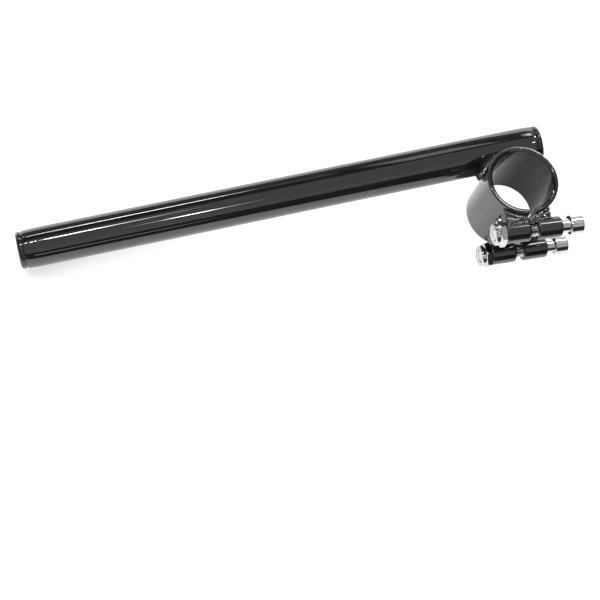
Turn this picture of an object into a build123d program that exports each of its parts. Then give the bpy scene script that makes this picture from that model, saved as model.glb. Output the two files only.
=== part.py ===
from build123d import *
import os
from math import cos, radians, sin, sqrt, tan

# A clip-on handlebar: a straight steel tube welded across the back of a split clamp for a fork leg.
# Millimetres. The origin is on the clamp's axis at mid-height, and +Z runs up the fork leg.
# The tube crosses behind the clamp (+Y) and droops towards its free end (-X). The split faces -Y.

# Handlebar tube
bar_outside = 22.2
bar_wall = 2.0
bar_length = 297.9
bar_tail = 20.9  # from the clamp's axis to the short end of the tube
bar_droop = 8.6  # degrees
bar_saddle = 3.0  # depth of the notch that seats the tube on the clamp
bar_edge = 0.4
swage_length = 9.0  # each end of the tube is drawn in a little, over this length
swage_depth = 0.5

# End plugs
plug_rim = 3.5
plug_round = 1.8
plug_spigot = 10.0
plug_wall = 2.0
plug_clearance = 0.05

# Clamp
clamp_bore = 35.5
clamp_wall = 2.9
clamp_length = 47.7
clamp_edge = 0.7
split_gap = 4.4

# Pinch bosses, one pair above and one below the middle of the clamp
boss_outside = 12.0
boss_length = 14.8
boss_inset = 8.65  # from the clamp's end to the boss's axis
boss_standoff = 0.7  # from the clamp's wall to the boss
boss_round = 1.2

# Pinch screws
screw_thread = 8.0
screw_head = 11.2
screw_head_height = 7.9
screw_head_round = 0.5
screw_free = 5.0  # bare shank between the boss and the head
screw_tip = 0.8  # chamfer of the threaded end
screw_clearance = 0.25
socket_flats = 6.0
socket_depth = 4.0

# Pinch nuts, each with a round collar on its outer end that holds a locking insert
nut_flats = 13.0
nut_height = 6.3
nut_collar = 12.1
nut_collar_height = 2.5
nut_collar_round = 0.9
nut_recess = 0.5  # from the nut's outer face to the end of the screw
nut_clearance = 0.05
nut_chamfer = 30.0  # degrees
upper_nut_turn = -11.0  # degrees about the screw
lower_nut_turn = 1.0

# Welds
bar_bead = 3.2
bar_bead_round = 1.9
boss_weld_length = 8.5
boss_weld_height = 9.6

bar_radius = bar_outside / 2
bar_end_radius = bar_radius - swage_depth
clamp_radius = clamp_bore / 2 + clamp_wall
bar_offset = clamp_radius + bar_radius - bar_saddle
boss_radius = boss_outside / 2
boss_bore = screw_thread + 2 * screw_clearance
boss_wall = (boss_outside - boss_bore) / 2
boss_offset = clamp_radius + boss_standoff + boss_radius
boss_height = clamp_length / 2 - boss_inset
boss_start = split_gap / 2
boss_end = boss_start + boss_length

standing = (Align.CENTER, Align.CENTER, Align.MIN)
droop = radians(bar_droop)
bar_plane = Plane(origin=(0, bar_offset, 0), x_dir=(0, 1, 0), z_dir=(-cos(droop), 0, -sin(droop)))
bar_start = bar_plane.location * Pos(0, 0, -bar_tail)
bar_finish = bar_plane.location * Pos(0, 0, bar_length - bar_tail)

sides = {"left": -1, "right": 1}
rows = {"upper": 1, "lower": -1}
nut_turns = {"upper": upper_nut_turn, "lower": lower_nut_turn}


def round_edges(shape, radius):
    return shape.edges().filter_by(GeomType.CIRCLE).filter_by(lambda edge: abs(edge.radius - radius) < 1e-6)


def crest_edges(shape):
    # The edges where two crossing cylinders meet, without their flat ends and seams
    return shape.edges().filter_by(lambda edge: edge.geom_type not in (GeomType.LINE, GeomType.CIRCLE))


def clamp_cylinder(radius):
    return Cylinder(radius, clamp_length)


def bar_cylinder(radius):
    return bar_start * Cylinder(radius, bar_length, align=standing)


def across(x, row):
    # A place on a screw's axis, with its own Z along +X
    origin = (x, -boss_offset, rows[row] * boss_height)
    return Plane(origin=origin, x_dir=(0, 0, 1), z_dir=(1, 0, 0)).location


def boss_cylinder(side, row, radius, length):
    # A cylinder on the boss's axis that starts at the split
    first = boss_start if sides[side] > 0 else -boss_start - length
    return across(first, row) * Cylinder(radius, length, align=standing)


def swaged_rod(radius):
    # A rod along the tube's length that is drawn in at both ends
    end_radius = radius - swage_depth
    far = bar_length - swage_length
    outline = [
        Line((0, 0), (end_radius, 0)),
        TangentArc((radius, swage_length), (end_radius, 0), tangent=(0, -1)),
        Line((radius, swage_length), (radius, far)),
        TangentArc((radius, far), (end_radius, bar_length), tangent=(0, 1)),
        Line((end_radius, bar_length), (0, bar_length)),
        Line((0, bar_length), (0, 0)),
    ]
    return revolve(Plane.XZ * make_face(outline), Axis.Z)


def make_bar_tube():
    tube = swaged_rod(bar_radius)
    tube = fillet(round_edges(tube, bar_end_radius), bar_edge)
    tube -= swaged_rod(bar_radius - bar_wall)
    return bar_start * tube - clamp_cylinder(clamp_radius)


def make_end_plug():
    # The rim stands above the tube's end at Z = 0 and the hollow spigot hangs below it
    spigot_radius = bar_end_radius - bar_wall - plug_clearance
    rim = Cylinder(bar_end_radius, plug_rim, align=standing)
    rim = fillet(round_edges(rim, bar_end_radius).sort_by(Axis.Z)[-1], plug_round)
    spigot = Pos(0, 0, -plug_spigot) * Cylinder(spigot_radius, plug_spigot, align=standing)
    hollow = Pos(0, 0, -plug_spigot) * Cylinder(spigot_radius - plug_wall, plug_spigot, align=standing)
    return rim + spigot - hollow


def make_clamp_ring():
    ring = clamp_cylinder(clamp_radius) - clamp_cylinder(clamp_bore / 2)
    ring = fillet(round_edges(ring, clamp_radius) + round_edges(ring, clamp_bore / 2), clamp_edge)
    split = Box(split_gap, clamp_radius, clamp_length, align=(Align.CENTER, Align.MAX, Align.CENTER))
    return ring - split


def make_bar_weld():
    # The bead fills the crotch between the tube and the clamp, all the way round the saddle
    bead = bar_cylinder(bar_radius + bar_bead) & clamp_cylinder(clamp_radius + bar_bead)
    bead = fillet(crest_edges(bead), bar_bead_round)
    toe = bar_offset - bar_radius - bar_bead
    reach = sqrt(clamp_radius**2 - toe**2)
    bead &= Box(2 * reach, 2 * bar_offset, clamp_length)
    return bead - bar_cylinder(bar_radius) - clamp_cylinder(clamp_radius)


def make_boss(side, row):
    boss = boss_cylinder(side, row, boss_radius, boss_length)
    boss = fillet(round_edges(boss, boss_radius), min(boss_round, 0.7 * boss_wall))
    return boss - boss_cylinder(side, row, boss_bore / 2, boss_length)


def make_boss_weld(side, row):
    # The weld fills the wedge between the boss and the clamp, from the split outwards
    middle = sides[side] * (boss_start + boss_weld_length / 2)
    weld = Box(boss_weld_length, boss_offset, boss_weld_height, align=(Align.CENTER, Align.MIN, Align.CENTER))
    weld = Pos(middle, -boss_offset, rows[row] * boss_height) * weld
    weld -= boss_cylinder(side, row, boss_radius, boss_length)
    return weld - clamp_cylinder(clamp_radius)


def make_pinch_screw(row):
    # The head stands clear of the right-hand boss, and the threaded end stops inside the nut
    grip = 2 * boss_end + screw_free
    shank_length = grip + nut_height - nut_recess
    head = Cylinder(screw_head / 2, screw_head_height, align=standing)
    head = fillet(round_edges(head, screw_head / 2), screw_head_round)
    socket = extrude(RegularPolygon(socket_flats / 2, 6, major_radius=False), socket_depth)
    head -= Pos(0, 0, screw_head_height - socket_depth) * socket
    shank = Pos(0, 0, -shank_length) * Cylinder(screw_thread / 2, shank_length, align=standing)
    shank = chamfer(round_edges(shank, screw_thread / 2).sort_by(Axis.Z)[0], screw_tip)
    return across(boss_end + screw_free, row) * (head + shank)


def make_pinch_nut(row):
    # A turned outline cuts the hexagon: the collar, the cone below it, and the corners at the boss
    flat = nut_flats / 2
    corner = RegularPolygon(flat, 6, major_radius=False).vertices()[0].center().length
    slope = tan(radians(nut_chamfer))
    collar = nut_collar / 2
    outline = [
        Line((0, 0), (collar - nut_collar_round, 0)),
        TangentArc((collar - nut_collar_round, 0), (collar, nut_collar_round), tangent=(1, 0)),
        Line((collar, nut_collar_round), (collar, nut_collar_height)),
        Line((collar, nut_collar_height), (corner, nut_collar_height + (corner - collar) * slope)),
        Line((corner, nut_collar_height + (corner - collar) * slope), (corner, nut_height - (corner - flat) * slope)),
        Line((corner, nut_height - (corner - flat) * slope), (flat, nut_height)),
        Line((flat, nut_height), (0, nut_height)),
        Line((0, nut_height), (0, 0)),
    ]
    turned = revolve(Plane.XZ * make_face(outline), Axis.Z)
    hexagon = extrude(RegularPolygon(flat, 6, major_radius=False), nut_height)
    bore = Cylinder(screw_thread / 2 + nut_clearance, nut_height, align=standing)
    nut = (hexagon & turned) - bore
    return across(-boss_end - nut_height, row) * Rot(0, 0, nut_turns[row]) * nut


pieces = {
    "bar_tube": make_bar_tube(),
    "outer_end_plug": bar_finish * make_end_plug(),
    "inner_end_plug": bar_start * Rot(180, 0, 0) * make_end_plug(),
    "clamp_ring": make_clamp_ring(),
    "bar_weld": make_bar_weld(),
}
for row in rows:
    for side in sides:
        pieces[f"{row}_{side}_boss"] = make_boss(side, row)
        pieces[f"{row}_{side}_boss_weld"] = make_boss_weld(side, row)
    pieces[f"{row}_pinch_screw"] = make_pinch_screw(row)
    pieces[f"{row}_pinch_nut"] = make_pinch_nut(row)

os.makedirs("parts", exist_ok=True)
for name, piece in pieces.items():
    export_step(piece, f"parts/{name}.step")
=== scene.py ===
import math
import bmesh
import bpy
from mathutils import Matrix, Vector, noise


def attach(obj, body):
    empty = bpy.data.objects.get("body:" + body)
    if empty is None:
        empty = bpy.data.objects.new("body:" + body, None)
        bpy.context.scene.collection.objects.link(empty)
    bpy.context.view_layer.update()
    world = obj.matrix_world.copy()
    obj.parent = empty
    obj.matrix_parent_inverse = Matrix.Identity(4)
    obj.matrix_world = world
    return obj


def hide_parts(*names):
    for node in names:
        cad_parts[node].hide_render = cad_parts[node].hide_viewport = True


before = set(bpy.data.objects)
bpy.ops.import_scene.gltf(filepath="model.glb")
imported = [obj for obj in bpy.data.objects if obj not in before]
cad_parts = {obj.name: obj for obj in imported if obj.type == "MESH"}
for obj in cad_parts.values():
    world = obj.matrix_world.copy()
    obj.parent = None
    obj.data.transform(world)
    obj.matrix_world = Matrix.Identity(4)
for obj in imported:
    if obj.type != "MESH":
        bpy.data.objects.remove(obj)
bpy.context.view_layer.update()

mm = 0.001
seamGap = 1e-7  # in metres: points closer than this become one
sliver = 1e-8
coreGap = 1e-6  # the same for weld cores
cutReach = 40.0  # half the length of a cutting rod
skin = dict(angle=32, segments=2, weight=80)  # where an edge starts to count as sharp, and how it is softened
scene = bpy.context.scene


def rounded(corners, steps):
    # corners of a turned section as (along, radius, rounding), each rounding drawn as an arc
    points = []
    count = len(corners)
    for i, (along, radius, rounding) in enumerate(corners):
        here = Vector((along, radius))
        if rounding <= 0:
            points.append(here)
            continue
        before = (Vector(corners[i - 1][:2]) - here).normalized()
        after = (Vector(corners[(i + 1) % count][:2]) - here).normalized()
        half = before.angle(after) / 2
        centre = here + (before + after).normalized() * (rounding / math.sin(half))
        first = here + before * (rounding / math.tan(half)) - centre
        last = here + after * (rounding / math.tan(half)) - centre
        sweep = first.angle_signed(last)
        for k in range(steps + 1):
            points.append(centre + Matrix.Rotation(-sweep * k / steps, 2) @ first)
    return points


def tidyMesh(obj):
    # merges poles and seams, and turns the faces outwards
    work = bmesh.new()
    work.from_mesh(obj.data)
    bmesh.ops.remove_doubles(work, verts=work.verts, dist=seamGap)
    bmesh.ops.dissolve_degenerate(work, edges=work.edges, dist=sliver)
    bmesh.ops.recalc_face_normals(work, faces=work.faces)
    work.to_mesh(obj.data)
    work.free()


def newPiece(name, verts, faces):
    mesh = bpy.data.meshes.new(name)
    mesh.from_pydata(verts, [], faces)
    obj = bpy.data.objects.new(name, mesh)
    scene.collection.objects.link(obj)
    tidyMesh(obj)
    return obj


def fullTurn(count):
    return [2 * math.pi * i / count for i in range(count)]


def turned(name, sectionAt, angles, place):
    # a turned piece: the closed section may change with the angle, as round a hexagon
    rings = [sectionAt(angle) for angle in angles]
    size = len(rings[0])
    verts = []
    for angle, points in zip(angles, rings):
        for along, radius in points:
            verts.append(place @ (Vector((radius * math.cos(angle), radius * math.sin(angle), along)) * mm))
    faces = []
    for i in range(len(rings)):
        j = (i + 1) % len(rings)
        for k in range(size):
            m = (k + 1) % size
            faces.append((i * size + k, j * size + k, j * size + m, i * size + m))
    return newPiece(name, verts, faces)


def settle(obj):
    # turns the live modifiers into a plain mesh
    bpy.context.view_layer.update()
    graph = bpy.context.evaluated_depsgraph_get()
    done = bpy.data.meshes.new_from_object(obj.evaluated_get(graph))
    obj.modifiers.clear()
    obj.data = done


def cutRod(name, radius, sides, place):
    # a plain rod that cuts a round seat
    section = [Vector((-cutReach, 0)), Vector((-cutReach, radius)), Vector((cutReach, radius)), Vector((cutReach, 0))]
    return turned(name, lambda angle: section, fullTurn(sides), place)


def cutAway(obj, *rods):
    for rod in rods:
        cut = obj.modifiers.new("cut", "BOOLEAN")
        cut.operation = "DIFFERENCE"
        cut.solver = "EXACT"
        cut.object = rod
    settle(obj)
    for rod in rods:
        bpy.data.objects.remove(rod)


def smoothSkin(obj, angle=skin["angle"], edge=0.0):
    # soft painted or plated edges, with flats kept flat
    if edge:
        bevel = obj.modifiers.new("edge", "BEVEL")
        bevel.width = edge * mm
        bevel.segments = skin["segments"]
        bevel.limit_method = "ANGLE"
        bevel.angle_limit = math.radians(angle)
        settle(obj)
    obj.data.shade_smooth()
    obj.data.set_sharp_from_angle(angle=math.radians(angle))
    weighted = obj.modifiers.new("flats", "WEIGHTED_NORMAL")
    weighted.keep_sharp = True
    weighted.weight = skin["weight"]
    settle(obj)


def fit(obj, material, slot, *nodes):
    # a finished piece rides on the part and stands for its solids
    obj.data.materials.clear()
    obj.data.materials.append(material)
    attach(obj, "root")
    if nodes:
        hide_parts(*nodes)
    return obj


def newTree(name, sizes, **others):
    # a node tree with geometry in and out, and named inputs for its sizes
    tree = bpy.data.node_groups.new(name, "GeometryNodeTree")
    face = tree.interface
    face.new_socket("Geometry", in_out="INPUT", socket_type="NodeSocketGeometry")
    for label in sizes:
        face.new_socket(label, in_out="INPUT", socket_type="NodeSocketFloat")
    for label, kind in others.items():
        face.new_socket(label, in_out="INPUT", socket_type="NodeSocket" + kind)
    face.new_socket("Geometry", in_out="OUTPUT", socket_type="NodeSocketGeometry")
    return tree, tree.nodes.new("NodeGroupInput"), tree.nodes.new("NodeGroupOutput")


def endTree(tree, end, geometry, coat):
    # a tree ends in real geometry with its own material
    real = tree.nodes.new("GeometryNodeRealizeInstances")
    paint = tree.nodes.new("GeometryNodeSetMaterial")
    tree.links.new(geometry, real.inputs[0])
    tree.links.new(real.outputs[0], paint.inputs["Geometry"])
    tree.links.new(coat, paint.inputs["Material"])
    tree.links.new(paint.outputs[0], end.inputs[0])


def setInputs(modifier, **values):
    # inputs go in by identifier, before the first evaluation
    for item in modifier.node_group.interface.items_tree:
        if item.item_type == "SOCKET" and item.in_out == "INPUT" and item.name in values:
            modifier[item.identifier] = values[item.name]


# finishes: colour and gloss drift in soft blotches, and a fine bump gives the skin of the paint or plating
blotches = dict(low=0.3, high=0.7, detail=4, rubScale=3.1, rubDetail=5, skinDetail=2, skinDepth=0.05, ior=1.52)


def finish(name, dark, light, rough, peel, peelScale, blotchScale, metallic=0.0, stretch=(1, 1, 1), gloss=0.5):
    material = bpy.data.materials.new(name)
    material.use_nodes = True
    tree = material.node_tree
    shader = tree.nodes["Principled BSDF"]
    shader.inputs["Metallic"].default_value = metallic
    shader.inputs["IOR"].default_value = blotches["ior"]
    shader.inputs["Specular IOR Level"].default_value = gloss
    where = tree.nodes.new("ShaderNodeTexCoord")
    turn = tree.nodes.new("ShaderNodeMapping")
    turn.inputs["Scale"].default_value = stretch
    tree.links.new(where.outputs["Object"], turn.inputs["Vector"])

    def cloud(scale, detail):
        node = tree.nodes.new("ShaderNodeTexNoise")
        node.inputs["Scale"].default_value = scale
        node.inputs["Detail"].default_value = detail
        tree.links.new(turn.outputs["Vector"], node.inputs["Vector"])
        return node.outputs["Fac"]

    tint = tree.nodes.new("ShaderNodeValToRGB")
    for element, spot, tone in zip(tint.color_ramp.elements, (blotches["low"], blotches["high"]), (dark, light)):
        element.position = spot
        element.color = (*tone, 1)
    tree.links.new(cloud(blotchScale, blotches["detail"]), tint.inputs["Fac"])
    tree.links.new(tint.outputs["Color"], shader.inputs["Base Color"])

    spread = tree.nodes.new("ShaderNodeMapRange")
    spread.inputs["From Min"].default_value = blotches["low"]
    spread.inputs["From Max"].default_value = blotches["high"]
    spread.inputs["To Min"].default_value = rough[0]
    spread.inputs["To Max"].default_value = rough[1]
    tree.links.new(cloud(blotchScale * blotches["rubScale"], blotches["rubDetail"]), spread.inputs["Value"])
    tree.links.new(spread.outputs["Result"], shader.inputs["Roughness"])

    bump = tree.nodes.new("ShaderNodeBump")
    bump.inputs["Strength"].default_value = peel
    bump.inputs["Distance"].default_value = blotches["skinDepth"] * mm
    tree.links.new(cloud(peelScale, blotches["skinDetail"]), bump.inputs["Height"])
    tree.links.new(bump.outputs["Normal"], shader.inputs["Normal"])
    return material


blackPaint = finish("blackGlossPaint", dark=(0.0035, 0.0035, 0.0036), light=(0.0055, 0.0055, 0.0056),
                    rough=(0.04, 0.065), peel=0.06, peelScale=420, blotchScale=45, gloss=0.75)
# the bore paint is thinner and rougher, and its low gloss also paints the shade that falls in the bore and on the split
# faces
boreSatinAndShade = finish("blackBoreSatinAndShade", dark=(0.003, 0.003, 0.0034), light=(0.008, 0.008, 0.0088),
                   rough=(0.09, 0.24), peel=0.10, peelScale=500, blotchScale=38, stretch=(1, 1, 4), gloss=0.12)
weldPaint = finish("blackPaintOnWeld", dark=(0.0035, 0.0035, 0.0035), light=(0.007, 0.007, 0.007),
                   rough=(0.03, 0.05), peel=0.05, peelScale=900, blotchScale=140, gloss=0.75)
capPlastic = finish("blackPlugPlastic", dark=(0.006, 0.006, 0.006), light=(0.010, 0.010, 0.010),
                    rough=(0.09, 0.16), peel=0.10, peelScale=1500, blotchScale=90)
brightPlate = finish("brightPlating", dark=(0.46, 0.46, 0.455), light=(0.52, 0.52, 0.515),
                     rough=(0.035, 0.08), peel=0.08, peelScale=700, blotchScale=160, metallic=1.0)
paleInsert = finish("paleInsert", dark=(0.52, 0.52, 0.50), light=(0.62, 0.62, 0.60),
                    rough=(0.35, 0.5), peel=0.2, peelScale=1800, blotchScale=260)
print("finishes ready")


# split clamp: a section swept round to the flat faces of the split, with hand-dressed rims, and a satin bore whose low
# gloss is partly painted shade inside the clamp and on the split faces
ring = dict(bore=17.75, outside=20.65, length=47.7, bevel=1.25, bevelDrop=0.8, bevelRound=0.5, rimRound=1.4,
            outerEdge=0.8, splitLeft=1.5, splitRight=2.2, steps=360, arcSteps=10, wave=0.008, waves=9.0,
            sharp=40, edge=0.2, boreSlack=0.02, splitSlack=0.1, splitFacing=0.99)


def makeRing():
    half = ring["length"] / 2
    section = rounded([
        (ring["bevelDrop"] - half, ring["bore"], ring["bevelRound"]),
        (-half, ring["bore"] + ring["bevel"], ring["rimRound"]),
        (-half, ring["outside"], ring["outerEdge"]),
        (half, ring["outside"], ring["outerEdge"]),
        (half, ring["bore"] + ring["bevel"], ring["rimRound"]),
        (half - ring["bevelDrop"], ring["bore"], ring["bevelRound"]),
    ], ring["arcSteps"])
    steps = ring["steps"]
    size = len(section)
    verts, faces = [], []
    for j in range(steps + 1):
        for along, radius in section:
            first, last = math.asin(ring["splitRight"] / radius), math.asin(ring["splitLeft"] / radius)
            angle = -math.pi / 2 + first + (2 * math.pi - first - last) * j / steps
            rim = max(0.0, (abs(along) - half) / ring["bevelDrop"] + 1)  # 0 on the walls, 1 on a rim
            spot = Vector((math.cos(angle), math.sin(angle), along / half)) * ring["waves"]
            along -= math.copysign(rim * ring["wave"] * (1 + noise.noise(spot)), along)
            verts.append(Vector((radius * math.cos(angle), radius * math.sin(angle), along)) * mm)
    for j in range(steps):
        for k in range(size):
            m = (k + 1) % size
            faces.append((j * size + k, (j + 1) * size + k, (j + 1) * size + m, j * size + m))
    faces.append(tuple(range(size)))
    faces.append(tuple(steps * size + k for k in reversed(range(size))))
    obj = newPiece("clampRing", verts, faces)
    smoothSkin(obj, angle=ring["sharp"], edge=ring["edge"])
    fit(obj, blackPaint, "black_paint", "clamp_ring")
    # bore and split faces take the low-gloss paint, which stands for their thinner paint and also paints their shade
    obj.data.materials.append(boreSatinAndShade)
    for face in obj.data.polygons:
        inBore = math.hypot(face.center.x, face.center.y) < (ring["bore"] + ring["boreSlack"]) * mm
        nearSplit = abs(face.center.x) < (ring["splitRight"] + ring["splitSlack"]) * mm
        if inBore or nearSplit and abs(face.normal.x) > ring["splitFacing"]:
            face.material_index = 1


makeRing()
print("clamp ready")


# handlebar tube with its drawn-in ends and saddle notch
bar = dict(radius=11.1, wall=2.0, length=297.9, tail=20.9, droop=8.6, offset=28.75, edge=0.4, edgeSteps=5,
           swage=9.0, swageDepth=0.5, swageSteps=14, straight=45.0, sides=144, saddleSides=240)
droop = math.radians(bar["droop"])
barAlong = Vector((-math.cos(droop), 0, -math.sin(droop)))
barUp = Vector((-math.sin(droop), 0, math.cos(droop)))


def barPlace(station, flip=False):
    along = -barAlong if flip else barAlong
    spot = Vector((0, bar["offset"], 0)) + barAlong * station
    return Matrix.Translation(spot * mm) @ Matrix((barUp, barUp.cross(along), along)).transposed().to_4x4()


def swagedLine(radius):
    # the wall of the tube near one end, from the end inwards
    big = (bar["swageDepth"] ** 2 + bar["swage"] ** 2) / (2 * bar["swageDepth"])
    line = []
    for k in range(bar["swageSteps"] + 1):
        along = bar["swage"] * k / bar["swageSteps"]
        line.append(Vector((along, radius - big + math.sqrt(big * big - (bar["swage"] - along) ** 2))))
    return line


def tubeSection(angle):
    edge = bar["edge"]
    outside = swagedLine(bar["radius"])
    inside = swagedLine(bar["radius"] - bar["wall"])
    lip = []
    for k in range(bar["edgeSteps"] + 1):
        turn = math.pi / 2 * k / bar["edgeSteps"]
        lip.append(Vector((edge - edge * math.cos(turn), outside[0].y - edge + edge * math.sin(turn))))
    outside = lip + outside[1:]
    far = [Vector((bar["length"] - p.x, p.y)) for p in reversed(outside)]
    farInside = [Vector((bar["length"] - p.x, p.y)) for p in inside]
    middle = [Vector((bar["straight"], bar["radius"])), Vector((bar["length"] / 2, bar["radius"]))]
    middleInside = [Vector((p.x, p.y - bar["wall"])) for p in reversed(middle)]
    return outside + middle + far + farInside + middleInside + list(reversed(inside))


tube = turned("barTube", tubeSection, fullTurn(bar["sides"]), barPlace(-bar["tail"]))
cutAway(tube, cutRod("saddleCut", ring["outside"], bar["saddleSides"], Matrix()))
smoothSkin(tube)
fit(tube, blackPaint, "black_paint", "bar_tube")


# end plugs, each with a seam groove and a hollow spigot
plug = dict(rim=3.5, rounding=1.8, gap=0.4, groove=0.6, seam=0.3, spigot=10.0, spigotEdge=0.4, wall=2.0,
            clearance=0.05, sides=144, arcSteps=9)


def plugSection(angle):
    outer = bar["radius"] - bar["swageDepth"]
    inner = outer - bar["wall"] - plug["clearance"]
    return rounded([
        (plug["rim"], 0, 0),
        (plug["rim"], outer, plug["rounding"]),
        (plug["gap"], outer, plug["seam"]),
        (plug["gap"], outer - plug["groove"], 0),
        (0, outer - plug["groove"], 0),
        (0, inner, 0),
        (-plug["spigot"], inner, plug["spigotEdge"]),
        (-plug["spigot"], inner - plug["wall"], plug["spigotEdge"]),
        (0, inner - plug["wall"], 0),
        (0, 0, 0),
    ], plug["arcSteps"])


for name, node, place in (("outerEndPlug", "outer_end_plug", barPlace(bar["length"] - bar["tail"])),
                          ("innerEndPlug", "inner_end_plug", barPlace(-bar["tail"], flip=True))):
    piece = turned(name, plugSection, fullTurn(plug["sides"]), place)
    smoothSkin(piece)
    fit(piece, capPlastic, "black_plastic", node)
print("tube and plugs ready")


# pinch bosses, in two rows
boss = dict(radius=6.0, bore=4.25, length=14.8, height=15.2, offset=27.35, start=2.2, rounding=1.2, lip=0.3,
            sides=96, arcSteps=8)
rows = {"upper": 1, "lower": -1}
rowTurn = {"upper": -1.4, "lower": -0.6}  # the hand-welded rows stand a little askew, in degrees
bossEnd = boss["start"] + boss["length"]


def across(x, row, flip=False):
    # a place on a screw's axis, its own Z along +X, or along -X when flipped
    along = Vector((-1, 0, 0)) if flip else Vector((1, 0, 0))
    up = Vector((0, 0, 1))
    middle = Matrix.Translation(Vector((0, -boss["offset"], rows[row] * boss["height"])) * mm)
    askew = Matrix.Rotation(math.radians(rowTurn[row]), 4, "Z")
    axes = Matrix((up, along.cross(up), along)).transposed().to_4x4()
    return middle @ askew @ Matrix.Translation((x * mm, 0, 0)) @ axes


def bossSection(angle):
    return rounded([
        (0, boss["bore"], boss["lip"]),
        (0, boss["radius"], boss["rounding"]),
        (boss["length"], boss["radius"], boss["rounding"]),
        (boss["length"], boss["bore"], boss["lip"]),
    ], boss["arcSteps"])


for row in rows:
    for side in ("left", "right"):
        start = boss["start"] if side == "right" else -boss["start"]
        place = across(start, row, side == "left")
        piece = turned(row + side.title() + "Boss", bossSection, fullTurn(boss["sides"]), place)
        smoothSkin(piece)
        fit(piece, blackPaint, "black_paint", f"{row}_{side}_boss")


def hexRadius(angle, flats):
    # the radius of a hexagon at an angle, with a corner at angle 0
    return flats / 2 / math.cos(angle % (math.pi / 3) - math.pi / 6)


def hexAngles(perSide):
    # columns that fall on every corner
    return [math.pi / 3 * (k / perSide) for k in range(6 * perSide)]


# lock nuts, and the ring held in each nut's collar
nut = dict(flats=13.0, height=6.3, collar=6.05, collarHeight=2.5, collarRound=0.9, lip=5.0, lipDepth=1.6, lipEdge=0.15,
           footEdge=0.25, bore=4.05, chamfer=30.0, sink=0.45, upperTurn=-11.0, lowerTurn=11.0, perSide=18, arcSteps=8,
           sharp=18, edge=0.1)
insert = dict(inner=3.95, depth=0.2, rounding=0.3, sides=72, arcSteps=6)


def nutSection(angle):
    # from the locking collar's lip, over the collar and down the hexagon to the boss
    edge = hexRadius(angle, nut["flats"])
    flat = nut["flats"] / 2
    slope = math.tan(math.radians(nut["chamfer"]))
    top = nut["height"]
    return rounded([
        (nut["lipDepth"] + nut["sink"], nut["bore"], 0),
        (nut["lipDepth"], nut["bore"] + nut["sink"], 0),
        (nut["lipDepth"], nut["lip"], 0),
        (0, nut["lip"], nut["lipEdge"]),
        (0, nut["collar"], nut["collarRound"]),
        (nut["collarHeight"], nut["collar"], nut["footEdge"]),
        (nut["collarHeight"] + (edge - nut["collar"]) * slope, edge, 0),
        (top - (edge - flat) * slope, edge, 0),
        (top, flat, 0),
        (top, nut["bore"] + nut["sink"], 0),
        (top - nut["sink"], nut["bore"], 0),
    ], nut["arcSteps"])


def insertSection(angle):
    return rounded([
        (insert["depth"], insert["inner"], insert["rounding"]),
        (insert["depth"], nut["lip"], insert["rounding"]),
        (nut["lipDepth"], nut["lip"], 0),
        (nut["lipDepth"], insert["inner"], 0),
    ], insert["arcSteps"])


for row in rows:
    place = across(-bossEnd - nut["height"], row) @ Matrix.Rotation(math.radians(nut[row + "Turn"]), 4, "Z")
    piece = turned(row + "PinchNut", nutSection, hexAngles(nut["perSide"]), place)
    smoothSkin(piece, angle=nut["sharp"], edge=nut["edge"])
    fit(piece, brightPlate, "chrome", f"{row}_pinch_nut")
    piece = turned(row + "NutInsert", insertSection, fullTurn(insert["sides"]), place)
    smoothSkin(piece)
    fit(piece, paleInsert, None)


# pinch screws with a hexagon socket, and a thread cut by nodes
screw = dict(shank=4.0, head=5.6, headHeight=7.75, headRound=0.5, headSteps=6, free=5.0, tip=0.8, flats=6.0,
             socket=4.0, mouth=0.6, mouthEdge=0.15, lead=0.25, cone=0.6, recess=0.5, perSide=14, sharp=38,
             pitch=1.25, depth=0.72, plain=17.5, pitchSteps=9, crest=0.1, steepness=1.25, rootRound=0.1, skinShare=0.75)
shankLength = 2 * bossEnd + screw["free"] + nut["height"] - screw["recess"]


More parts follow.
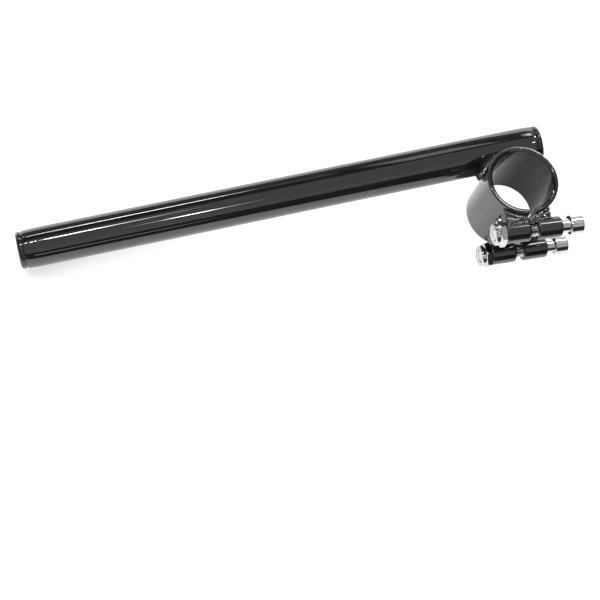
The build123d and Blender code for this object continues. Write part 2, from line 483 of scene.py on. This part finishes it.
def threadTree():
    # cuts a right-hand thread into the outside of an upright rod
    sizes = ("Pitch", "Depth", "Radius", "Lowest", "Highest")
    tree, start, end = newTree("pinchThread", sizes, Plating="Material")

    def calc(operation, *values):
        node = tree.nodes.new("ShaderNodeMath")
        node.operation = operation
        for socket, value in zip(node.inputs, values):
            if isinstance(value, (int, float)):
                socket.default_value = value
            else:
                tree.links.new(value, socket)
        return node.outputs[0]

    spot = tree.nodes.new("GeometryNodeInputPosition")
    parts = tree.nodes.new("ShaderNodeSeparateXYZ")
    tree.links.new(spot.outputs[0], parts.inputs[0])
    x, y, z = parts.outputs
    pitch = start.outputs["Pitch"]
    away = calc("SQRT", calc("ADD", calc("MULTIPLY", x, x), calc("MULTIPLY", y, y)))
    turns = calc("DIVIDE", calc("ARCTAN2", y, x), 2 * math.pi)
    phase = calc("SUBTRACT", calc("DIVIDE", z, pitch), turns)
    wave = calc("MULTIPLY", calc("PINGPONG", phase, 0.5), 2.0)  # 0 on a crest, 1 in a root
    flank = calc("MULTIPLY", calc("SUBTRACT", wave, screw["crest"]), screw["steepness"])
    cut = calc("MAXIMUM", calc("SMOOTH_MIN", flank, 1.0, screw["rootRound"]), 0.0)
    inLow = calc("DIVIDE", calc("SUBTRACT", z, start.outputs["Lowest"]), pitch)
    inHigh = calc("DIVIDE", calc("SUBTRACT", start.outputs["Highest"], z), pitch)
    inside = calc("MINIMUM", calc("MAXIMUM", calc("MINIMUM", inLow, inHigh), 0.0), 1.0)
    outside = calc("GREATER_THAN", away, calc("MULTIPLY", start.outputs["Radius"], screw["skinShare"]))
    depth = calc("MULTIPLY", calc("MULTIPLY", calc("MULTIPLY", cut, inside), outside), start.outputs["Depth"])
    ratio = calc("DIVIDE", calc("MULTIPLY", depth, -1.0), calc("MAXIMUM", away, 1e-6))  # safe on the axis
    flat = tree.nodes.new("ShaderNodeCombineXYZ")
    tree.links.new(calc("MULTIPLY", x, ratio), flat.inputs[0])
    tree.links.new(calc("MULTIPLY", y, ratio), flat.inputs[1])
    move = tree.nodes.new("GeometryNodeSetPosition")
    tree.links.new(start.outputs["Geometry"], move.inputs["Geometry"])
    tree.links.new(flat.outputs[0], move.inputs["Offset"])
    endTree(tree, end, move.outputs[0], start.outputs["Plating"])
    return tree


def screwSection(angle):
    # from the tip at 0 up to the head's outer face, then down into the socket
    top = shankLength + screw["headHeight"]
    key = hexRadius(angle, screw["flats"])
    mouth = screw["flats"] * screw["mouth"]
    tip, shank = screw["tip"], screw["shank"]
    threadTop = shankLength - screw["plain"]
    stations = int(threadTop / (screw["pitch"] / screw["pitchSteps"]))
    points = [(0, 0), (0, shank - tip), (tip, shank)]
    points += [(tip + (threadTop - tip) * k / stations, shank) for k in range(1, stations + 1)]
    points += [(shankLength, shank)]
    head = rounded([(shankLength, shank, 0), (shankLength, screw["head"], screw["headRound"]),
                    (top, screw["head"], screw["headRound"]), (top, mouth, 0)], screw["headSteps"])
    points += [tuple(p) for p in head[1:-1]]
    floor = top - screw["socket"]
    points += [(top, mouth + screw["mouthEdge"]), (top - screw["lead"], key), (floor, key), (floor - screw["cone"], 0)]
    return [Vector(p) for p in points]


thread = threadTree()
for row in rows:
    piece = turned(row + "PinchScrew", screwSection, hexAngles(screw["perSide"]), Matrix())
    cutter = piece.modifiers.new("thread", "NODES")
    cutter.node_group = thread
    setInputs(cutter, Pitch=screw["pitch"] * mm, Depth=screw["depth"] * mm, Radius=screw["shank"] * mm,
              Lowest=-screw["pitch"] * mm, Highest=(shankLength - screw["plain"]) * mm, Plating=brightPlate)
    settle(piece)
    piece.data.transform(across(bossEnd + screw["free"] - shankLength, row))
    smoothSkin(piece, angle=screw["sharp"])
    fit(piece, brightPlate, "chrome", f"{row}_pinch_screw")
print("bosses, screws and nuts ready")


# welds: rippled beads fused with the solid weld metal under them
drop = dict(detail=4, low=(0.84, 0.80, 0.74), high=(1.16, 1.20, 1.26))  # a ripple, and how its sizes vary
beads = bpy.data.collections.new("weldBeads")


def rippleTree():
    # overlapping ripples of weld metal laid along a path that carries an outward direction
    sizes = ("Pitch", "Length", "Width", "Height", "Lean")
    tree, start, end = newTree("weldRipples", sizes, Seed="Int", Paint="Material")
    path = tree.nodes.new("GeometryNodeMeshToCurve")
    tree.links.new(start.outputs["Geometry"], path.inputs["Mesh"])
    spaced = tree.nodes.new("GeometryNodeResampleCurve")
    spaced.mode = "LENGTH"
    tree.links.new(path.outputs[0], spaced.inputs["Curve"])
    tree.links.new(start.outputs["Pitch"], spaced.inputs["Length"])
    outward = tree.nodes.new("GeometryNodeInputNamedAttribute")
    outward.data_type = "FLOAT_VECTOR"
    outward.inputs["Name"].default_value = "outward"
    tangent = tree.nodes.new("GeometryNodeInputTangent")
    facing = tree.nodes.new("FunctionNodeAxesToRotation")
    facing.primary_axis = "Z"
    facing.secondary_axis = "X"
    tree.links.new(outward.outputs[0], facing.inputs[0])
    tree.links.new(tangent.outputs[0], facing.inputs[1])

    size = tree.nodes.new("ShaderNodeCombineXYZ")
    for socket, label in zip(size.inputs, ("Length", "Width", "Height")):
        tree.links.new(start.outputs[label], socket)
    vary = tree.nodes.new("FunctionNodeRandomValue")
    vary.data_type = "FLOAT_VECTOR"
    vary.inputs[0].default_value = drop["low"]
    vary.inputs[1].default_value = drop["high"]
    tree.links.new(start.outputs["Seed"], vary.inputs["Seed"])
    scaled = tree.nodes.new("ShaderNodeVectorMath")
    scaled.operation = "MULTIPLY"
    tree.links.new(size.outputs[0], scaled.inputs[0])
    tree.links.new(vary.outputs[0], scaled.inputs[1])

    ball = tree.nodes.new("GeometryNodeMeshIcoSphere")
    ball.inputs["Radius"].default_value = 1.0
    ball.inputs["Subdivisions"].default_value = drop["detail"]
    lay = tree.nodes.new("GeometryNodeInstanceOnPoints")
    tree.links.new(spaced.outputs[0], lay.inputs["Points"])
    tree.links.new(ball.outputs[0], lay.inputs["Instance"])
    tree.links.new(facing.outputs[0], lay.inputs["Rotation"])
    tree.links.new(scaled.outputs[0], lay.inputs["Scale"])
    lean = tree.nodes.new("GeometryNodeRotateInstances")
    tilt = tree.nodes.new("ShaderNodeCombineXYZ")
    tree.links.new(start.outputs["Lean"], tilt.inputs[1])
    tree.links.new(lay.outputs[0], lean.inputs["Instances"])
    tree.links.new(tilt.outputs[0], lean.inputs["Rotation"])
    endTree(tree, end, lean.outputs[0], start.outputs["Paint"])
    return tree


ripple = rippleTree()


def layRun(name, path, outwards, closed, sizes, seed):
    # the ripples of one run, as a plain mesh
    count = len(path)
    edges = [(i, i + 1) for i in range(count - 1)] + ([(count - 1, 0)] if closed else [])
    mesh = bpy.data.meshes.new(name)
    mesh.from_pydata([p * mm for p in path], edges, [])
    layer = mesh.attributes.new("outward", "FLOAT_VECTOR", "POINT")
    for i, out in enumerate(outwards):
        layer.data[i].vector = out
    run = bpy.data.objects.new(name, mesh)
    scene.collection.objects.link(run)
    ripples = run.modifiers.new("ripples", "NODES")
    ripples.node_group = ripple
    setInputs(ripples, Pitch=sizes["pitch"] * mm, Length=sizes["length"] * mm, Width=sizes["width"] * mm,
              Height=sizes["height"] * mm, Lean=math.radians(sizes["lean"]), Seed=seed, Paint=weldPaint)
    settle(run)
    done = run.data
    bpy.data.objects.remove(run)
    return done


def weldPiece(name, node, core, runs, sizes):
    # each run is (points, outward directions, closed) in mm; the ripples and the solid core become one skin
    work = bmesh.new()
    work.from_mesh(core)
    bmesh.ops.remove_doubles(work, verts=work.verts, dist=coreGap)
    for number, (path, outwards, closed) in enumerate(runs):
        work.from_mesh(layRun(name + "Run", path, outwards, closed, sizes, sizes["seed"] + number))
    obj = newPiece(name, [], [])
    work.to_mesh(obj.data)
    work.free()
    fuse = obj.modifiers.new("fuse", "REMESH")
    fuse.mode = "VOXEL"
    fuse.voxel_size = sizes["voxel"] * mm
    flow = obj.modifiers.new("flow", "SMOOTH")
    flow.factor = sizes["soften"]
    flow.iterations = sizes["smooth"]
    settle(obj)
    obj.data.shade_smooth()
    beads.objects.link(obj)
    return fit(obj, weldPaint, "black_paint", node)


# the bead between tube and clamp
barBead = dict(shrink=0.5, pitch=1.7, length=1.15, width=2.5, height=1.8, under=0.8, over=1.6, lean=24.0, points=200,
               voxel=0.18, soften=0.5, smooth=1, seed=4)


def saddlePath():
    # the groove between tube and clamp, as the line that keeps the same distance from both, wider on top
    points, outs = [], []
    for turn in fullTurn(barBead["points"]):
        away = barBead["under"] + (barBead["over"] - barBead["under"]) * (0.5 + 0.5 * math.sin(turn))
        tubeRadius, ringRadius = bar["radius"] + away, ring["outside"] + away
        angle = math.acos((bar["offset"] - ringRadius) / tubeRadius) * math.sin(turn)
        side = 1 if math.cos(turn) >= 0 else -1
        y = bar["offset"] - tubeRadius * math.cos(angle)
        x = side * math.sqrt(max(ringRadius ** 2 - y * y, 0))
        station = (-x - tubeRadius * math.sin(angle) * math.sin(droop)) / math.cos(droop)
        onBar = Vector((0, -math.cos(angle), 0)) + barUp * math.sin(angle)
        points.append(Vector((0, bar["offset"], 0)) + barAlong * station + onBar * tubeRadius)
        outs.append((onBar + Vector((x, y, 0)) / ringRadius).normalized())
    return points, outs, True


def barCore():
    # the solid weld metal, drawn in a little so that the ripples cover it
    work = bmesh.new()
    work.from_mesh(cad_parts["bar_weld"].data)
    bmesh.ops.remove_doubles(work, verts=work.verts, dist=coreGap)
    bmesh.ops.recalc_face_normals(work, faces=work.faces)
    work.normal_update()
    for vert in work.verts:
        vert.co -= vert.normal * barBead["shrink"] * mm
    mesh = bpy.data.meshes.new("barCore")
    work.to_mesh(mesh)
    work.free()
    return mesh


weldPiece("barWeld", "bar_weld", barCore(), [saddlePath()], barBead)


# the webs between bosses and clamp
bossBead = dict(pitch=1.3, length=0.95, width=1.5, height=0.95, sag=0.5, lean=24.0, points=25, start=0.6, left=12.1,
                right=8.5, high=4.8, front=-26.0, back=-12.0, bite=0.6, ringSides=180, bossSides=72, short=0.6,
                endInset=0.5, layers=(0, 0.5, 1), endLayers=(0.75, 0.4, 0.05, -0.3, -0.65), voxel=0.16, soften=0.5,
                smooth=1, seed=9, sideSeed=10, rowSeed=20)


def webCore(row, sign, length):
    # the plain web between a boss and the clamp, let into both
    z, high, bite = rows[row] * boss["height"], bossBead["high"], bossBead["bite"]
    near, far = sign * boss["start"], sign * (boss["start"] + length)
    corners = [Vector((x, y, z + h)) * mm
               for x in (near, far) for y in (bossBead["front"], bossBead["back"]) for h in (-high, high)]
    sides = [(0, 1, 3, 2), (4, 6, 7, 5), (0, 4, 5, 1), (2, 3, 7, 6), (0, 2, 6, 4), (1, 5, 7, 3)]
    core = newPiece("webCore", corners, sides)
    cutAway(core, cutRod("ringCut", ring["outside"] - bite, bossBead["ringSides"], Matrix()),
            cutRod("bossCut", boss["radius"] - bite, bossBead["bossSides"], across(0, row)))
    mesh = core.data
    bpy.data.objects.remove(core)
    return mesh


def webRuns(row, sign, length):
    # layers above and below the web, from boss to clamp, then layers across its end
    middle, high, count = rows[row] * boss["height"], bossBead["high"], bossBead["points"]
    shares = [i / count for i in range(count + 1)]
    runs = []

    def spot(x, part, rise):
        atBoss = math.sqrt(boss["radius"] ** 2 - rise * rise) - boss["offset"]
        atRing = -math.sqrt(ring["outside"] ** 2 - x * x)
        return Vector((x, atBoss + (atRing - atBoss) * part, middle + rise))

    def addRun(line, outward):
        runs.append((line, [Vector(outward)] * len(line), False))

    begin = boss["start"] + bossBead["start"]
    for lift in (1, -1):
        for part in bossBead["layers"]:
            rise = lift * (high - bossBead["sag"] * 4 * part * (1 - part))
            addRun([spot(sign * (begin + (length - bossBead["start"]) * s), part, rise) for s in shares], (0, 0, lift))
    x = sign * (boss["start"] + length - bossBead["endInset"])
    for layer in bossBead["endLayers"]:
        addRun([spot(x, s, layer * high) for s in shares], (sign, 0, 0))
    return runs


for row in rows:
    for side, sign in (("left", -1), ("right", 1)):
        length = bossBead[side]
        seed = bossBead["seed"] + bossBead["sideSeed"] * sign + bossBead["rowSeed"] * rows[row]
        core = webCore(row, sign, length - bossBead["short"])
        weldPiece(row + side.title() + "BossWeld", f"{row}_{side}_boss_weld", core, webRuns(row, sign, length),
                  dict(bossBead, seed=seed))
print("welds ready")


# floor, and a dark card on it that only shows in the gloss of the bosses
stage = dict(floor=-59.0, halfWidth=2600.0, front=-2000.0, back=3600.0, floorTone=0.85, rough=0.8, dim=0.05)
card = dict(left=20.0, right=900.0, front=-1900.0, back=-200.0, lift=0.5, tone=0.02)


def stageSheet(name, left, right, front, back, height, tone):
    # a plain matt sheet that lies flat
    corners = [(left, front, height), (right, front, height), (right, back, height), (left, back, height)]
    sheet = newPiece(name, [Vector(p) * mm for p in corners], [(0, 1, 2, 3)])
    matt = bpy.data.materials.new(name)
    matt.use_nodes = True
    shader = matt.node_tree.nodes["Principled BSDF"]
    shader.inputs["Base Color"].default_value = (tone, tone, tone, 1)
    shader.inputs["Roughness"].default_value = stage["rough"]
    sheet.data.materials.append(matt)
    return sheet


stageSheet("paleFloor", -stage["halfWidth"], stage["halfWidth"], stage["front"], stage["back"], stage["floor"],
           stage["floorTone"])
darkCard = stageSheet("darkCard", card["left"], card["right"], card["front"], card["back"],
                      stage["floor"] + card["lift"], card["tone"])
darkCard.visible_camera = False
darkCard.visible_shadow = False
darkCard.visible_diffuse = False


# lights: where each one is and faces, its width and height, its glow, how the glow runs from its left edge
# to its right one, and what it leaves out
middle = (-120, 20, 0)
clamp = (0, -10, 10)
outerEnd = (-270, 30, -35)
innerEnd = (20, 30, 0)
lights = dict(
    fill=dict(at=(-700, -650, 1400), to=(-200, -20, 0), size=(2400, 2400), glow=2.7, glossy=False),
    backFill=dict(at=(100, 900, 1500), to=middle, size=(2400, 1800), glow=2.4, glossy=False),
    ceiling=dict(at=(-475, -100, 1750), to=(-475, -100, 0), size=(3050, 2100), glow=0.55),
    frontPanel=dict(at=(-250, -1514, 1596), to=(-250, 0, 0), size=(3100, 800), glow=0.68),
    backWall=dict(at=(0, 3000, 700), to=(0, 0, 300), size=(5000, 1500), glow=0.16),
    backStrip=dict(at=(-350, 1265, 820), to=middle, size=(500, 46), glow=48,
                   fade=((0, 0.4), (0.35, 0.55), (0.6, 1), (0.85, 0.8), (0.93, 0.3), (1, 0))),
    backGlow=dict(at=(-60, 1265, 860), to=middle, size=(90, 160), glow=0.9),
    topStrip=dict(at=(-376, 360, 1430), to=middle, size=(212, 70), glow=70,
                  fade=((0, 1), (0.25, 0.9), (0.45, 0.25), (0.75, 0.08), (1, 0))),
    stripSpark=dict(at=(-548, 350, 1340), to=outerEnd, size=(40, 50), glow=70),
    topSpark=dict(at=(-615, 338, 1291), to=outerEnd, size=(60, 50), glow=70),
    endSpark=dict(at=(-734, 363, 1249), to=outerEnd, size=(60, 50), glow=70),
    backSpark=dict(at=(-640, 1240, 600), to=outerEnd, size=(60, 50), glow=50),
    topLamp=dict(at=(-290, -420, 1412), to=middle, size=(210, 62), glow=80,
                 fade=((0, 0), (0.3, 0.06), (0.46, 0.8), (0.5, 1), (0.54, 0.8), (0.7, 0.08), (1, 0))),
    backPatch=dict(at=(90, 1130, 990), to=middle, size=(130, 560), glow=1.45),
    frontSlat=dict(at=(-285, -1385, 500), to=middle, size=(400, 90), glow=3.2, fade=((0, 1), (0.7, 0.7), (1, 0))),
    sideWindow=dict(at=(394, 405, 705), to=clamp, size=(212, 110), glow=60, diffuse=False,
                    fade=((0, 0.05), (0.3, 0.3), (0.5, 1), (1, 1))),
    endWedge=dict(at=(235, 830, 722), to=innerEnd, size=(150, 340), glow=9, fade=((0, 0), (0.35, 0.25), (1, 1))),
    innerSpark=dict(at=(373, -145, 1356), to=innerEnd, size=(50, 50), glow=70),
    sideCard=dict(at=(620, 1300, 60), to=clamp, size=(700, 420), glow=1.8),
    weldSpark=dict(at=(-825, -375, 1200), to=clamp, size=(260, 260), glow=140, diffuse=False, only=beads),
    screwTop=dict(at=(815, -45, 1740), to=(815, -45, 0), size=(230, 570), glow=0.45),
    screwBack=dict(at=(1150, 1900, 1000), to=clamp, size=(1000, 2200), glow=0.9),
)


def softBox(name, at, to, size, glow, fade=None, glossy=True, diffuse=True, only=None):
    lamp = bpy.data.lights.new(name, "AREA")
    lamp.shape = "RECTANGLE"
    lamp.size = size[0] * mm
    lamp.size_y = size[1] * mm
    lamp.energy = glow * math.pi * size[0] * size[1] * mm * mm
    if fade:
        lamp.use_nodes = True
        tree = lamp.node_tree
        where = tree.nodes.new("ShaderNodeNewGeometry")
        parts = tree.nodes.new("ShaderNodeSeparateXYZ")
        ramp = tree.nodes.new("ShaderNodeValToRGB")
        ramp.color_ramp.interpolation = "EASE"
        for stop in fade[1:-1]:
            ramp.color_ramp.elements.new(stop[0])
        for element, (spot, share) in zip(ramp.color_ramp.elements, fade):
            element.position = spot
            element.color = (share, share, share, 1)
        tree.links.new(where.outputs["Parametric"], parts.inputs[0])
        tree.links.new(parts.outputs[0], ramp.inputs["Fac"])
        tree.links.new(ramp.outputs["Color"], tree.nodes["Emission"].inputs["Color"])
    obj = bpy.data.objects.new(name, lamp)
    scene.collection.objects.link(obj)
    back = (Vector(at) - Vector(to)).normalized()
    side = (Vector((1, 0, 0)) - back * back.x).normalized()
    axes = Matrix((side, back.cross(side), back)).transposed().to_4x4()
    obj.matrix_world = Matrix.Translation(Vector(at) * mm) @ axes
    obj.visible_camera = False
    obj.visible_glossy = glossy
    obj.visible_diffuse = diffuse
    if only:
        obj.light_linking.receiver_collection = only


for name, values in lights.items():
    softBox(name, **values)

# the studio is dim in reflections and white behind the floor
world = bpy.data.worlds.new("studio")
scene.world = world
world.use_nodes = True
tree = world.node_tree
rays = tree.nodes.new("ShaderNodeLightPath")
pick = tree.nodes.new("ShaderNodeMixRGB")
pick.inputs["Color1"].default_value = (stage["dim"],) * 3 + (1,)
pick.inputs["Color2"].default_value = (1, 1, 1, 1)
tree.links.new(rays.outputs["Is Camera Ray"], pick.inputs["Fac"])
tree.links.new(pick.outputs["Color"], tree.nodes["Background"].inputs["Color"])
scene.view_settings.view_transform = "Standard"
scene.view_settings.look = "None"


# camera, with its place in mm and its axes
view = dict(place=(-426.25271, -408.88252, 1051.52985), lens=125.800846, sensor=36, farClip=50,
            right=(0.9556192, -0.2314853, 0.1822267), up=(0.1532951, 0.9189246, 0.3634256),
            back=(-0.2515802, -0.319362, 0.9136276))
lens = bpy.data.cameras.new("camera")
lens.lens = view["lens"]
lens.sensor_width = view["sensor"]
lens.clip_end = view["farClip"]
camera = bpy.data.objects.new("camera", lens)
scene.collection.objects.link(camera)
axes = Matrix((Vector(view["right"]), Vector(view["up"]), Vector(view["back"]))).transposed()
camera.matrix_world = Matrix.Translation(Vector(view["place"]) * mm) @ axes.to_4x4()
scene.camera = camera
print("stage ready")
